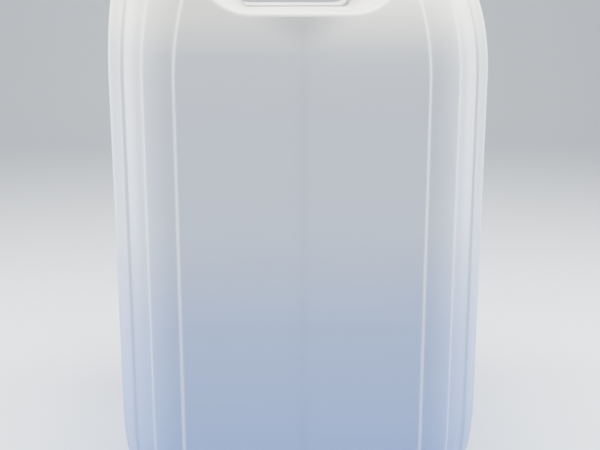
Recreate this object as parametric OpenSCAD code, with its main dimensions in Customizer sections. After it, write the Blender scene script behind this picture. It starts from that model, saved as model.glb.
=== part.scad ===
// Stackable blown can of about 25 litres, with a handle in its top and a screw cap.
// Millimetres. The can stands on z = 0, centred on the origin, with its long side along x.

/* [Body] */
// Length of the can, along x
body_l = 292; // [284:1:320]
// Depth of the can, along y
body_d = 246; // [238:1:270]
// Height of the handle and of the rear shoulder
body_h = 442; // [432:1:470]
// Thickness of the blown wall
wall = 2; // [1.4:0.1:2.6]
// Radius of the upright corners
corner_r = 58; // [50:1:64]
// How far below the top the shoulder starts to lean in
shoulder_drop = 112; // [96:1:140]
// How far the shoulder leans in before it turns flat
shoulder_in = 20; // [14:1:26]
// How much the radius of the upright corners grows from the shoulder to the top
corner_grow = 28; // [0:1:36]

/* [Stepped corners] */
// Depth of each upright step between panel and corner
step_depth = 1.8; // [0.6:0.1:2.4]
// Width of the slope of a step
step_w = 3.6; // [2:0.1:6]
// Place of the step beside the front panel, as an angle on the corner
front_step_a = 5; // [4:1:12]
// Place of the second step, as an angle on the corner
mid_step_a = 31; // [25:1:36]
// Place of the third step, as an angle on the corner
side_step_a = 53; // [46:1:60]
// Place of the step beside the side panel, as an angle on the corner
end_step_a = 81; // [74:1:84]

/* [Base] */
// Height of the rounded edge of the base
base_edge_h = 60; // [45:1:80]
// Width of the rounded edge of the base
base_edge_w = 13; // [10:1:24]
// Depth of the hollow under the can
base_hollow = 6; // [4:0.5:10]
// Width of the flat rim that the can stands on
base_rim = 12; // [8:1:18]

/* [Hand hole] */
// How far below the top the ledge under the handle lies
ledge_drop = 60; // [57:1:70]
// Half length of the flat ledge at the faces
ledge_half = 36; // [30:1:40]
// Radius of the ledge's ends at the faces
flare_r = 40; // [34:1:50]
// Radius of the hand hole's lower corners
hole_r = 6; // [4:0.5:9]
// Radius of the hand hole's upper corners
grip_r = 8; // [5:0.5:10]
// Rounding where the ledge meets the faces
lip_r = 3.5; // [2.8:0.1:5]

/* [Handle] */
// Width of the handle, along y
handle_w = 34; // [28:1:40]
// Thickness of the handle's bar
handle_t = 26; // [22:1:30]
// Thickness of the handle's leg beside the neck
leg_t = 12; // [10:0.5:14]
// Rounding of the handle's edges
handle_edge = 10; // [7:0.5:12]

/* [Neck] */
// How far below the top the platform that carries the neck lies
platform_drop = 38; // [34:1:44]
// Distance of the neck's middle from the end of the can
neck_inset = 49; // [46:1:54]
// Gap between the handle's leg and the cap
leg_gap = 5.5; // [5:0.5:8]
// Height of the neck above the platform
neck_h = 28; // [26:1:30]
// Diameter of the neck at the bottom of its thread
neck_d = 56.4; // [52:0.2:60]
// Thickness of the neck's wall
neck_wall = 4; // [3.2:0.1:5]
// How far the bead that holds the tamper band stands out
bead_out = 3; // [2.4:0.1:3.4]
// Height of that bead, with its slope
bead_h = 2.6; // [2:0.1:3]
// Height of the bead's upright edge
bead_edge = 0.8; // [0.5:0.1:1.2]
// Number of ratchet teeth below the bead
tooth_count = 12; // [8:1:18]
// Width of a ratchet tooth
tooth_w = 3; // [2:0.5:4]

/* [Cap] */
// Thickness of the cap's skirt between its ribs
cap_wall = 2.2; // [2:0.1:3]
// Height of a rib above the skirt
rib_h = 1.2; // [0.8:0.1:1.6]
// Width of a rib
rib_w = 1.8; // [1.4:0.1:2.4]
// Number of ribs round the cap
rib_count = 48; // [36:2:60]
// Thickness of the cap's top
cap_top_t = 2.4; // [1.8:0.1:3]
// Rounding of the cap's upper edge
cap_edge = 2; // [1:0.1:2.4]
// Thickness of the sealing disc
liner_t = 1.8; // [1:0.1:2.4]
// Thickness of the tamper band
band_t = 1.9; // [1.4:0.1:2.2]
// Height of the catch above the tamper band's lower edge
catch_z = 4.2; // [3:0.1:5]
// Height of the catch itself
catch_h = 1.8; // [1.2:0.1:2.4]

/* [Clearances] */
// Gap between the sealing disc and the neck's lip
seal_gap = 0.3; // [0.2:0.05:0.5]
// Gap between the sealing disc and the cap
liner_gap = 0.1; // [0.05:0.05:0.2]
// Gap between the cap's inside and what it passes over
cap_gap = 0.4; // [0.3:0.05:0.6]
// Gap below, beside and above the tamper band
band_gap = 0.5; // [0.3:0.05:0.8]

/* [Hidden] */
milky = [0.86, 0.88, 0.9];
white = [0.94, 0.94, 0.93];
foam = [0.97, 0.97, 0.95];

half_l = body_l / 2;
half_d = body_d / 2;
shoulder_z = body_h - shoulder_drop;
ledge_z = body_h - ledge_drop;
platform_z = body_h - platform_drop;
hw = handle_w / 2;
cut = 1;
slice = 0.02;
edge_steps = 4;

// The neck's thread sets the size of everything that goes round it
neck_r = neck_d / 2;
bore_r = neck_r - neck_wall;
bead_r = neck_r + bead_out;
cap_in_r = bead_r + cap_gap;
skirt_r = cap_in_r + cap_wall;
cap_r = skirt_r + rib_h;
neck_x = half_l - neck_inset;
hole_half = neck_x - cap_r - leg_gap - leg_t;

// Heights from the platform up: the band with its catch under the bead, and the cap over it
neck_top = platform_z + neck_h;
band_z = platform_z + band_gap;
bead_z = band_z + catch_z + catch_h + band_gap;
cap_z = bead_z + bead_h;
band_h = cap_z - band_gap - band_z;
tooth_h = catch_z;
tooth_r = skirt_r - band_t - cap_gap;
liner_z = neck_top + seal_gap;
cap_roof = liner_z + liner_t + liner_gap;
cap_top = cap_roof + cap_top_t;

ring_angles = 9;
level_count = 7;
flare_power = 1.6;
bend_steps = 5;

function clamp01(t) = min(max(t, 0), 1);
function smooth(t) = let (u = clamp01(t)) u * u * (3 - 2 * u);

// How far the corner lies below the panels at an angle, with one slope for each step
function slope_at(a, centre) = smooth((a - centre) * PI / 180 * corner_r / step_w + 0.5);
function step_at(a) = step_depth * (slope_at(a, front_step_a) + slope_at(a, mid_step_a)
    - slope_at(a, side_step_a) - slope_at(a, end_step_a));

// Angles for one corner: both ends of each step's slope, and even steps between them
half_step_a = step_w / corner_r * 90 / PI;
step_list = [front_step_a, mid_step_a, side_step_a, end_step_a];
function between(a, b, count) = [for (k = [1 : count - 1]) a + (b - a) * k / count];
corner_angles = concat(
    [0],
    [for (k = [0 : 3]) each concat(
        [step_list[k] - half_step_a, step_list[k] + half_step_a],
        k < 3 ? between(step_list[k] + half_step_a, step_list[k + 1] - half_step_a, 4) : [])],
    [90]);

// One quarter of the plan, from the middle of the front to the middle of the right side.
// Each entry is a point and its outward direction.
front_xs = [0, ledge_half / 3, ledge_half * 2 / 3, ledge_half, (ledge_half + half_l - corner_r) / 2];
quarter = concat(
    [for (x = front_xs) [x, -half_d, 0, -1]],
    [for (a = corner_angles) let (r = corner_r - step_at(a))
        [half_l - corner_r + r * sin(a), corner_r - half_d - r * cos(a), sin(a), -cos(a)]]);
m = len(quarter);
function flip_x(p) = [-p[0], p[1], -p[2], p[3]];
function flip_y(p) = [p[0], -p[1], p[2], -p[3]];
first_half = concat(quarter, [for (k = [m - 1 : -1 : 1]) flip_y(quarter[k])]);
plan = concat(first_half, [for (p = first_half) flip_x(flip_y(p))]);
n = len(plan);

// Height of the top over x: the rear shoulder is high, the neck's platform is low
function top_at(x) = platform_z + platform_drop * smooth(0.5 - x / (2 * ledge_half));

// How far a point moves towards the middle for each millimetre that the corners grow
function rounder(place, out, flat) = (1 - abs(out)) * max(-1, min(1, place / flat));

// One ring of the shell at an angle of its rounded edges, pulled in by the wall for the inside
function base_ring(a, w) = [for (p = plan) let (d = w + (base_edge_w - w) * (1 - sin(a)))
    [p[0] - p[2] * d, p[1] - p[3] * d, base_edge_h - (base_edge_h - w) * cos(a)]];
function shoulder_ring(a, w) = [for (p = plan) let (
        d = w + (shoulder_in - w) * (1 - cos(a)),
        rise = (top_at(p[0]) - w - shoulder_z) * sin(a),
        g = corner_grow * pow(rise / shoulder_drop, 2))
    [p[0] - p[2] * d - g * rounder(p[0], p[2], half_l - corner_r),
        p[1] - p[3] * d - g * rounder(p[1], p[3], half_d - corner_r), shoulder_z + rise]];

function shell_points(w) = concat(
    [for (k = [0 : level_count]) each base_ring(90 * k / level_count, w)],
    [for (k = [0 : level_count]) each shoulder_ring(90 * k / level_count, w)]);
function opposite(k) = (n / 2 - k + n) % n;

// The strip of the top between two points of the front edge and those behind them
function top_strip(last, k) = let (q = (k + 1) % n)
    [[last + k, last + opposite(k), last + opposite(q)], [last + k, last + opposite(q), last + q]];

// The closed outer form, or with w the hollow inside it
module shell(w) {
    rings = 2 * (level_count + 1);
    sides = [for (j = [0 : rings - 2], k = [0 : n - 1]) let (q = (k + 1) % n)
        each [[j * n + k, j * n + n + k, j * n + n + q], [j * n + k, j * n + n + q, j * n + q]]];
    last = (rings - 1) * n;
    top = [for (k = [n - m + 1 : n + m - 2]) each top_strip(last, k % n)];
    bottom = [for (k = [0 : n - 1]) k];
    polyhedron(shell_points(w), concat([bottom], sides, top));
}

// Where the front face lies at the height of the ledge
ledge_lean = shoulder_in * (1 - sqrt(1 - pow((ledge_z - shoulder_z)
    / ((platform_z + body_h) / 2 - shoulder_z), 2)));
face_y = half_d - ledge_lean;

// The scoop over the ledge, as outlines across the can. It is narrow under the handle
// and flares to the faces; w grows it by the wall for the inside.
function lip_at(y, w) = let (r = max(lip_r - w, lip_r / 4), u = clamp01((y - (face_y - w - r)) / r))
    r * (1 - sqrt(1 - u * u));
function flare_at(y) = pow(max((y - hw) / (face_y - hw), 0), flare_power);
function scoop_half(y) = hole_half - hole_r + (ledge_half - hole_half + hole_r) * min(flare_at(y), 1);
function scoop_outline(y, w) = let (
        lip = lip_at(abs(y), w),
        r = hole_r + (flare_r - hole_r) * flare_at(abs(y)),
        half = scoop_half(abs(y)),
        right = [for (k = [0 : ring_angles]) let (a = 90 * k / ring_angles)
            [half + (r + w + lip) * sin(a), ledge_z + r - (r + w + lip) * cos(a)]],
        side = [[half + r + w + lip, body_h + flare_r]],
        edge = concat(right, side))
    concat([for (p = edge) [p[0], y, p[1]]],
        [for (k = [len(edge) - 1 : -1 : 0]) [-edge[k][0], y, edge[k][1]]]);
function scoop_ys(w) = let (
        inner = face_y - w - max(lip_r - w, lip_r / 4),
        even = [for (k = [0 : 5]) hw + (inner - hw) * k / 5],
        lips = [for (k = [1 : 3]) inner + (face_y - w - inner) * sin(30 * k)],
        out = [half_d + cut])
    concat(even, lips, out);

module scoop(w) {
    half_ys = scoop_ys(w);
    ys = concat([for (k = [len(half_ys) - 1 : -1 : 0]) -half_ys[k]], half_ys);
    outlines = [for (y = ys) scoop_outline(y, w)];
    count = len(outlines[0]);
    sides = [for (j = [0 : len(ys) - 2], k = [0 : count - 1]) let (q = (k + 1) % count)
        each [[j * count + k, j * count + q, (j + 1) * count + q],
            [j * count + k, (j + 1) * count + q, (j + 1) * count + k]]];
    front = [for (k = [count - 1 : -1 : 0]) k];
    back = [for (k = [0 : count - 1]) (len(ys) - 1) * count + k];
    polyhedron([for (o = outlines) each o], concat(sides, [front, back]));
}

// One ring round the handle, at an angle of its bend from level to upright. The bar thins
// towards the leg beside the neck; w pulls the ring in by the wall.
function bend_t(side, a) = handle_t + (side > 0 ? leg_t - handle_t : 0) * smooth(a / 90);
function handle_ring(side, a, drop, w) = let (
        t = bend_t(side, a),
        r = max(min(handle_edge, t / 2 - wall / 4) - w, wall / 4),
        inner_x = hole_half - grip_r + grip_r * sin(a),
        inner_z = body_h - handle_t - grip_r + grip_r * cos(a) - drop)
    [for (q = [0 : 3], k = [0 : edge_steps]) let (
            b = 90 * (q + k / edge_steps),
            u = t / 2 + (t / 2 - w - r) * sign(cos(90 * q + 45)) + r * cos(b),
            v = (hw - w - r) * sign(sin(90 * q + 45)) + r * sin(b))
        [side * (inner_x + u * sin(a)), v, inner_z + u * cos(a)]];

// The handle: a bar with a leg at each end, bent round the hand hole's upper corners
module handle(w) {
    foot = body_h - handle_t - grip_r - platform_z + 2 * wall + cut;
    stations = concat([[-1, 90, foot]], [for (k = [bend_steps : -1 : 0]) [-1, 90 * k / bend_steps, 0]],
        [for (k = [0 : bend_steps]) [1, 90 * k / bend_steps, 0]], [[1, 90, foot]]);
    rings = [for (s = stations) handle_ring(s[0], s[1], s[2], w)];
    count = len(rings[0]);
    sides = [for (j = [0 : len(rings) - 2], k = [0 : count - 1]) let (q = (k + 1) % count)
        each [[j * count + k, j * count + q, (j + 1) * count + q],
            [j * count + k, (j + 1) * count + q, (j + 1) * count + k]]];
    first = [for (k = [count - 1 : -1 : 0]) k];
    end = [for (k = [0 : count - 1]) (len(rings) - 1) * count + k];
    polyhedron([for (r = rings) each r], concat(sides, [first, end]));
}

// The hollow that lets the can sit on another one, with a flat rim round it
module base_recess(w) {
    low = base_edge_w + base_rim;
    top = low + base_hollow;
    hull() {
        translate([0, 0, -cut])
            recess_plate(low - w);
        translate([0, 0, base_hollow + w - slice])
            recess_plate(top - w);
    }
}
module recess_plate(inset) {
    r = max(corner_r - inset, corner_r / 4);
    linear_extrude(slice)
        offset(r, $fn = 48)
            square([body_l - 2 * inset - 2 * r, body_d - 2 * inset - 2 * r], center = true);
}

// A ratchet tooth on the neck, which keeps the tamper band from turning with the cap
module ratchet_tooth() {
    hull() {
        translate([neck_r - wall, -tooth_w, -wall])
            cube([wall / 2, 2 * tooth_w, wall + tooth_h]);
        translate([tooth_r - wall / 4, -tooth_w / 2, -wall])
            cube([wall / 4, tooth_w / 2, wall + tooth_h - wall / 4]);
    }
}

module neck() {
    for (k = [0 : tooth_count - 1])
        rotate([0, 0, 360 * k / tooth_count])
            ratchet_tooth();
    bead_low = bead_z - platform_z;
    rotate_extrude($fn = 72)
        polygon([[0, -2 * wall], [neck_r, -2 * wall], [neck_r, bead_low], [bead_r, bead_low],
            [bead_r, bead_low + bead_edge], [neck_r, bead_low + bead_h], [neck_r, neck_h],
            [0, neck_h]]);
}

// One blown piece: the shell, its hollow handle and its neck
module body() {
    color(milky)
        difference() {
            union() {
                difference() {
                    shell(0);
                    scoop(0);
                    base_recess(0);
                }
                handle(0);
                translate([neck_x, 0, platform_z])
                    neck();
            }
            difference() {
                shell(wall);
                scoop(wall);
                base_recess(wall);
            }
            handle(wall);
            translate([neck_x, 0, platform_z - 2 * wall - cut])
                cylinder(r = bore_r, h = neck_h + 2 * wall + 2 * cut, $fn = 72);
        }
}

// A rib of the cap's grip, with a rounded upper end
module rib() {
    low = cap_z + rib_w / 2;
    high = cap_top - cap_edge - rib_w / 2;
    hull() {
        for (z = [low, high])
            translate([skirt_r + rib_h - rib_w / 2, 0, z])
                sphere(d = rib_w, $fn = 6);
    }
}

module cap() {
    color(white)
        difference() {
            translate([neck_x, 0, 0]) {
                rotate_extrude($fn = 96)
                    polygon(concat([[0, cap_z], [skirt_r, cap_z]],
                        [for (k = [0 : 4]) let (a = 90 * k / 4)
                            [skirt_r - cap_edge * (1 - cos(a)), cap_top - cap_edge * (1 - sin(a))]],
                        [[0, cap_top]]));
                for (k = [0 : rib_count - 1])
                    rotate([0, 0, 360 * k / rib_count])
                        rib();
            }
            translate([neck_x, 0, cap_z - cut])
                cylinder(r = cap_in_r, h = cap_roof - cap_z + cut, $fn = 96);
        }
}

// The sealing disc under the cap's top
module cap_liner() {
    color(foam)
        translate([neck_x, 0, liner_z])
            cylinder(r = cap_in_r - cap_gap, h = liner_t);
}

// The ring that breaks off the cap at first opening and stays under the neck's bead
module tamper_band() {
    outer = skirt_r;
    middle = skirt_r - band_t;
    inner = neck_r + cap_gap;
    color(white)
        translate([neck_x, 0, band_z])
            rotate_extrude()
                polygon([[middle, 0], [outer, 0], [outer, band_h], [middle, band_h],
                    [middle, catch_z + catch_h], [inner, catch_z + catch_h], [inner, catch_z],
                    [middle, catch_z]]);
}

body();
cap();
cap_liner();
tamper_band();
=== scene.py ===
"""A stackable can of milky polyethylene with its screw cap, dressed for a plain studio view."""

import logging
import math
from collections.abc import Callable
from dataclasses import dataclass, field
from enum import Enum

import bmesh
import bpy
import numpy as np
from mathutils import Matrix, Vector


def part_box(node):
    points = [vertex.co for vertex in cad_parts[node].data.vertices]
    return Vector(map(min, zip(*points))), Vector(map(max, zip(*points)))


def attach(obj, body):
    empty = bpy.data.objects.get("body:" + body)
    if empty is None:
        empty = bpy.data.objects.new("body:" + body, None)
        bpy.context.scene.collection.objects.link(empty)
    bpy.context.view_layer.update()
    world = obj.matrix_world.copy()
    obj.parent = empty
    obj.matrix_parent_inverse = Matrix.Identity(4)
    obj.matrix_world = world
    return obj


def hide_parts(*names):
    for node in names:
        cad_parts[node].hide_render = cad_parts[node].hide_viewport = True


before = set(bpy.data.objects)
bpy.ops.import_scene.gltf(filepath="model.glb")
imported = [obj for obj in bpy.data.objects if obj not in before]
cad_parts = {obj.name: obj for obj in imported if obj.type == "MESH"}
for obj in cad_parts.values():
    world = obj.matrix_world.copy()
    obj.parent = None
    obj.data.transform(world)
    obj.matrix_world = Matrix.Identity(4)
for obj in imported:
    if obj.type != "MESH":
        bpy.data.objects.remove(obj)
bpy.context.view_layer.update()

LOG = logging.getLogger("can")
MM = 0.001
# Rise of the neck's thread in one turn, and the width of its ridge
PITCH = 6 * MM
THREAD_W = 3 * MM
# Faces that meet at a larger angle than this keep a sharp edge
CRISP = math.radians(55)
BLACK = (0.0, 0.0, 0.0, 1.0)
WHITE = (1.0, 1.0, 1.0, 1.0)
Socket = bpy.types.NodeSocket


class Operation(Enum):
    """How one solid is combined with another."""

    JOIN = "UNION"
    CUT = "DIFFERENCE"


def clamp01(t: np.ndarray | float) -> np.ndarray:
    """Holds values between 0 and 1."""
    return np.clip(t, 0.0, 1.0)


def smooth(t: np.ndarray | float) -> np.ndarray:
    """An even S-shaped rise from 0 to 1."""
    u = clamp01(t)
    return u * u * (3 - 2 * u)


def linear_colour(hex_code: str) -> tuple[float, float, float, float]:
    """Turns an sRGB colour into the linear one that shaders take.

    Args:
        hex_code: six hex digits, such as "E8ECEF".

    Returns:
        Linear red, green and blue, and an alpha of 1.
    """
    parts = [int(hex_code[k : k + 2], 16) / 255 for k in (0, 2, 4)]
    linear = [c / 12.92 if c <= 0.04045 else ((c + 0.055) / 1.055) ** 2.4 for c in parts]
    return (linear[0], linear[1], linear[2], 1.0)


def add_node(
    tree: bpy.types.NodeTree, kind: str, inputs: dict | None = None, **settings: object
) -> bpy.types.Node:
    """Adds a node with its settings, values and links.

    Args:
        tree: the node tree that the node goes into.
        kind: the node's type name.
        inputs: input name or number to a value, or to the output socket that feeds it.
        settings: properties of the node itself.

    Returns:
        The new node.
    """
    node = tree.nodes.new(kind)
    for name, value in settings.items():
        setattr(node, name, value)
    for key, value in (inputs or {}).items():
        if isinstance(value, Socket):
            tree.links.new(value, node.inputs[key])
        else:
            node.inputs[key].default_value = value
    return node


def new_object(name: str, points: np.ndarray, faces: list) -> bpy.types.Object:
    """Makes a mesh object, with every face smooth.

    Args:
        name: the object's name.
        points: its vertices, one row each, in metres.
        faces: its faces, as lists of vertex numbers.

    Returns:
        The object, linked to the scene.
    """
    mesh = bpy.data.meshes.new(name)
    mesh.from_pydata(np.asarray(points, float).tolist(), [], faces)
    mesh.update()
    mesh.polygons.foreach_set("use_smooth", np.ones(len(mesh.polygons), bool))
    obj = bpy.data.objects.new(name, mesh)
    bpy.context.scene.collection.objects.link(obj)
    return obj


def grid_faces(rows: int, count: int, closed: bool = False) -> list[tuple[int, ...]]:
    """Joins rings of equally many points into a tube.

    Args:
        rows: how many rings there are.
        count: points on each ring.
        closed: joins the last ring to the first one too.

    Returns:
        Four-sided faces that look outwards where the rings run anticlockwise and climb.
    """
    faces = []
    for j in range(rows if closed else rows - 1):
        low, high = j * count, (j + 1) % rows * count
        for k in range(count):
            q = (k + 1) % count
            faces.append((low + k, low + q, high + q, high + k))
    return faces


def lofted(name: str, rings: np.ndarray) -> bpy.types.Object:
    """A closed solid through rings, with a flat end on the first and last.

    Args:
        name: the object's name.
        rings: an array of rings, points and coordinates.

    Returns:
        The solid.
    """
    rows, count, _ = rings.shape
    faces = grid_faces(rows, count)
    faces.append(tuple(range(count))[::-1])
    faces.append(tuple((rows - 1) * count + k for k in range(count)))
    return new_object(name, rings.reshape(-1, 3), faces)


def lathed(
    name: str, radius: np.ndarray, height: np.ndarray, axis_x: float, ring: bool = False
) -> bpy.types.Object:
    """A solid turned round an upright axis, whose radius may change round the turn.

    Args:
        name: the object's name.
        radius: radius by row and column; without ring, the first and last rows lie on the axis.
        height: height by row and column.
        axis_x: where the axis stands, over y = 0.
        ring: joins the last row to the first one instead.

    Returns:
        The closed solid.
    """
    rows, count = radius.shape
    angle = np.arange(count) / count * 2 * math.pi
    surface = np.stack([axis_x + radius * np.cos(angle), radius * np.sin(angle), height], axis=2)
    if ring:
        return new_object(name, surface.reshape(-1, 3), grid_faces(rows, count, closed=True))
    body = surface[1:-1].reshape(-1, 3)
    low = [axis_x, 0, height[0].mean()]
    high = [axis_x, 0, height[-1].mean()]
    points = np.vstack([body, [low, high]])
    faces = grid_faces(rows - 2, count)
    first, last = len(body), len(body) + 1
    top = (rows - 3) * count
    faces += [(first, (k + 1) % count, k) for k in range(count)]
    faces += [(last, top + k, top + (k + 1) % count) for k in range(count)]
    return new_object(name, points, faces)


def weld_edges(bm: bmesh.types.BMesh, edges: list) -> int:
    """Shortens edges of a triangle mesh to nothing, where it then stays closed.

    Args:
        bm: the mesh, changed in place.
        edges: the edges, of which those too close to another one are left for a next time.

    Returns:
        How many edges went.
    """
    used, target = set(), {}
    for edge in sorted(edges, key=lambda e: e.calc_length()):
        a, b = edge.verts
        ring_a = {e.other_vert(a) for e in a.link_edges}
        ring_b = {e.other_vert(b) for e in b.link_edges}
        ring = ring_a | ring_b
        if len(ring_a & ring_b) == 2 and not used & ring:
            used |= ring
            target[a] = b
    bmesh.ops.weld_verts(bm, targetmap=target)
    return len(target)


def combine(
    base: bpy.types.Object, other: bpy.types.Object, operation: Operation
) -> bpy.types.Object:
    """Joins or cuts one closed solid with another, and deletes the other.

    Args:
        base: the solid that is changed.
        other: the solid that is added or cut away.
        operation: which of the two.

    Returns:
        The changed base.
    """
    modifier = base.modifiers.new("combine", "BOOLEAN")
    modifier.object = other
    modifier.operation = operation.value
    modifier.solver = "MANIFOLD"
    graph = bpy.context.evaluated_depsgraph_get()
    mesh = bpy.data.meshes.new_from_object(base.evaluated_get(graph))
    base.modifiers.clear()
    old = base.data
    base.data = mesh
    bpy.data.meshes.remove(old)
    bpy.data.objects.remove(other)
    return base


def thread(
    z: np.ndarray, turn: np.ndarray, start: float, end: float, phase: float = 0.0
) -> np.ndarray:
    """How far a right-handed thread stands out of a turned surface, from 0 to 1.

    Args:
        z: heights of the surface's points.
        turn: turns round the axis, from 0 to 1.
        start: height where the thread begins.
        end: height where it ends.
        phase: shift of the thread, in turns.

    Returns:
        The share of the thread's full height at each point.
    """
    run = (z - start) / PITCH - turn - phase
    whole = np.round(run)
    off = np.abs(run - whole) * PITCH
    centre = start + (whole + turn + phase) * PITCH
    ends = smooth((centre - start) / (0.15 * PITCH)) * smooth((end - centre) / (0.15 * PITCH))
    return smooth((THREAD_W / 2 - off) / (0.3 * THREAD_W)) * ends


def whole_turn(count: int, rows: np.ndarray) -> tuple[np.ndarray, np.ndarray]:
    """A grid of places on a turned surface.

    Args:
        count: how many columns go round.
        rows: one value for each row.

    Returns:
        The turn of each place, from 0 to 1, and its row's value.
    """
    turn = np.arange(count) / count
    return np.meshgrid(turn, rows)


def turned_section(count: int, rows: np.ndarray) -> tuple[np.ndarray, np.ndarray, np.ndarray]:
    """A section's points, repeated round a whole turn.

    Args:
        count: how many columns go round.
        rows: radius and height of each point of the section.

    Returns:
        The turn, the radius and the height of each place.
    """
    turn, z = whole_turn(count, rows[:, 1])
    return turn, rows[:, 0][:, None] + 0 * turn, z


def corner_distance(a: np.ndarray, b: np.ndarray) -> np.ndarray:
    """Distance from a square corner.

    Args:
        a: distance from its first side.
        b: distance from its second side.

    Returns:
        The distance, negative where both sides are.
    """
    return np.hypot(np.maximum(a, 0), np.maximum(b, 0)) + np.minimum(np.maximum(a, b), 0)


def round_join(a: np.ndarray, b: np.ndarray, r: np.ndarray | float) -> np.ndarray:
    """Distance from two forms joined with a hollow fillet between them.

    Args:
        a: distance from the first form.
        b: distance from the second form.
        r: fillet radius, which may vary from point to point.

    Returns:
        The distance from the joined form.
    """
    u = np.maximum(r - a, 0)
    v = np.maximum(r - b, 0)
    return np.maximum(r, np.minimum(a, b)) - np.hypot(u, v)


def round_cut(a: np.ndarray, b: np.ndarray, r: float) -> np.ndarray:
    """Distance from one form with another cut away and the edges rounded.

    Args:
        a: distance from the form that stays.
        b: distance from the form that is cut away.
        r: edge radius.

    Returns:
        The distance from what is left.
    """
    u = np.maximum(r + a, 0)
    v = np.maximum(r - b, 0)
    return np.minimum(-r, np.maximum(a, -b)) + np.hypot(u, v)


@dataclass
class CanBody:
    """The blown can: tank, ledge, handle and neck in one piece, in metres."""

    length: float
    depth: float
    height: float
    neck_x: float
    wall: float = 2 * MM
    corner_r: float = 58 * MM
    shoulder_z: float = 330 * MM
    shoulder_in: float = 20 * MM
    shoulder_drop: float = 112 * MM
    corner_grow: float = 28 * MM
    step_depth: float = 1.8 * MM
    step_w: float = 3.6 * MM
    step_angles: tuple[float, ...] = (5.0, 31.0, 53.0, 81.0)
    base_edge_h: float = 60 * MM
    base_edge_w: float = 13 * MM
    base_hollow: float = 6 * MM
    base_rim: float = 12 * MM
    ledge_z: float = 382 * MM
    ledge_half: float = 36 * MM
    hole_half: float = 44.5 * MM
    flare_r: float = 40 * MM
    flare_power: float = 1.6
    flare_most: float = 1.3
    hole_r: float = 6 * MM
    grip_r: float = 8 * MM
    lip_r: float = 3.5 * MM
    handle_w: float = 34 * MM
    handle_t: float = 26 * MM
    leg_t: float = 12 * MM
    handle_edge: float = 10 * MM
    platform_z: float = 404 * MM
    neck_h: float = 28 * MM
    neck_foot: float = 2 * MM
    thread_start: float = 12 * MM
    thread_end: float = 2.5 * MM
    neck_r: float = 28.2 * MM
    thread_r: float = 30.1 * MM
    bore_r: float = 24.2 * MM
    bead_r: float = 31.2 * MM
    bead_z: float = 411 * MM
    bead_h: float = 2.6 * MM
    bead_edge: float = 0.8 * MM
    tooth_h: float = 4.2 * MM
    tooth_out: float = 2.6 * MM
    tooth_count: int = 12
    lip: float = 1 * MM
    edge_round: float = 3.5 * MM
    join_round: float = 5 * MM
    spacing: float = 3 * MM
    fine_spacing: float = 1.8 * MM
    short_edge: float = 0.7 * MM
    quarter_count: int = field(default=0, init=False)

    def step_at(self, angle: np.ndarray) -> np.ndarray:
        """How far a corner lies below the panels at an angle.

        Args:
            angle: degrees round the corner, from the front or back panel to the side.

        Returns:
            The depth of the steps passed so far.
        """
        arc = np.radians(angle) * self.corner_r
        total = np.zeros_like(arc)
        for place, sign in zip(self.step_angles, (1, 1, -1, -1)):
            total += sign * smooth((arc - math.radians(place) * self.corner_r) / self.step_w + 0.5)
        return self.step_depth * total

    def top_at(self, x: np.ndarray) -> np.ndarray:
        """Height of the top: high over the rear shoulder and low over the neck's platform."""
        lift = self.height - self.platform_z
        return self.platform_z + lift * smooth(0.5 - x / (2 * self.ledge_half))

    def corner_growth(self, z: np.ndarray) -> np.ndarray:
        """How much larger the corners' radius is at a height, from the shoulder up."""
        return self.corner_grow * (np.maximum(z - self.shoulder_z, 0) / self.shoulder_drop) ** 2

    def rounder(self, plan: np.ndarray) -> np.ndarray:
        """How far each point of the plan moves to the middle while the corners grow.

        Args:
            plan: points and outward directions.

        Returns:
            The share of the growth along x and y.
        """
        flat = np.array([self.length, self.depth]) / 2 - self.corner_r
        return (1 - np.abs(plan[:, 2:])) * np.clip(plan[:, :2] / flat, -1, 1)

    def plan(self) -> np.ndarray:
        """The can's outline seen from above, at its widest.

        Returns:
            Points and outward directions, anticlockwise from the middle of the front.
        """
        half_l, half_d, r = self.length / 2, self.depth / 2, self.corner_r
        flat = half_l - r
        front = [(x, -half_d, 0.0, -1.0) for x in np.linspace(0, flat, 31)[:-1]]
        slope = math.degrees(self.step_w / r)
        shares = np.linspace(-0.55, 0.55, 6)
        spread = [place + slope * t for place in self.step_angles for t in shares]
        even = [a for a in np.linspace(0, 90, 31) if min(abs(a - s) for s in spread) > 1.2]
        quarter = list(front)
        for angle in sorted([*even, *spread]):
            a = math.radians(angle)
            rr = r - float(self.step_at(np.array(angle)))
            nx, ny = math.sin(a), -math.cos(a)
            quarter.append((flat + rr * nx, -(half_d - r) + rr * ny, nx, ny))
        back = [(x, -y, nx, -ny) for x, y, nx, ny in quarter[:0:-1]]
        half = quarter + back
        self.quarter_count = len(quarter)
        return np.array(half + [(-x, -y, -nx, -ny) for x, y, nx, ny in half])

    def levels(self) -> list[tuple[float, float, float]]:
        """How each ring of the shell lies: its inset, its height and its share of the shoulder.

        Returns:
            Inset, height below the shoulder, and the shoulder's angle or a negative number.
        """
        rim = self.base_edge_w + self.base_rim
        hollow = self.base_hollow
        levels = [(rim + hollow + 2 * MM, hollow, -1.0), (rim + hollow, hollow, -1.0)]
        for t in np.linspace(0, 1, 7)[1:-1]:
            levels.append((rim + hollow * (1 - t), hollow * (1 - float(smooth(t))), -1.0))
        levels += [(rim, 0.0, -1.0), (rim - self.base_rim / 2, 0.0, -1.0)]
        for a in np.linspace(0, math.pi / 2, 19):
            inset = self.base_edge_w * (1 - math.sin(a))
            levels.append((inset, self.base_edge_h * (1 - math.cos(a)), -1.0))
        for z in np.linspace(self.base_edge_h, self.shoulder_z, 24)[1:-1]:
            levels.append((0.0, float(z), -1.0))
        for a in np.linspace(0, math.pi / 2, 31):
            levels.append((self.shoulder_in * (1 - math.cos(a)), 0.0, float(a)))
        return levels

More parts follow.
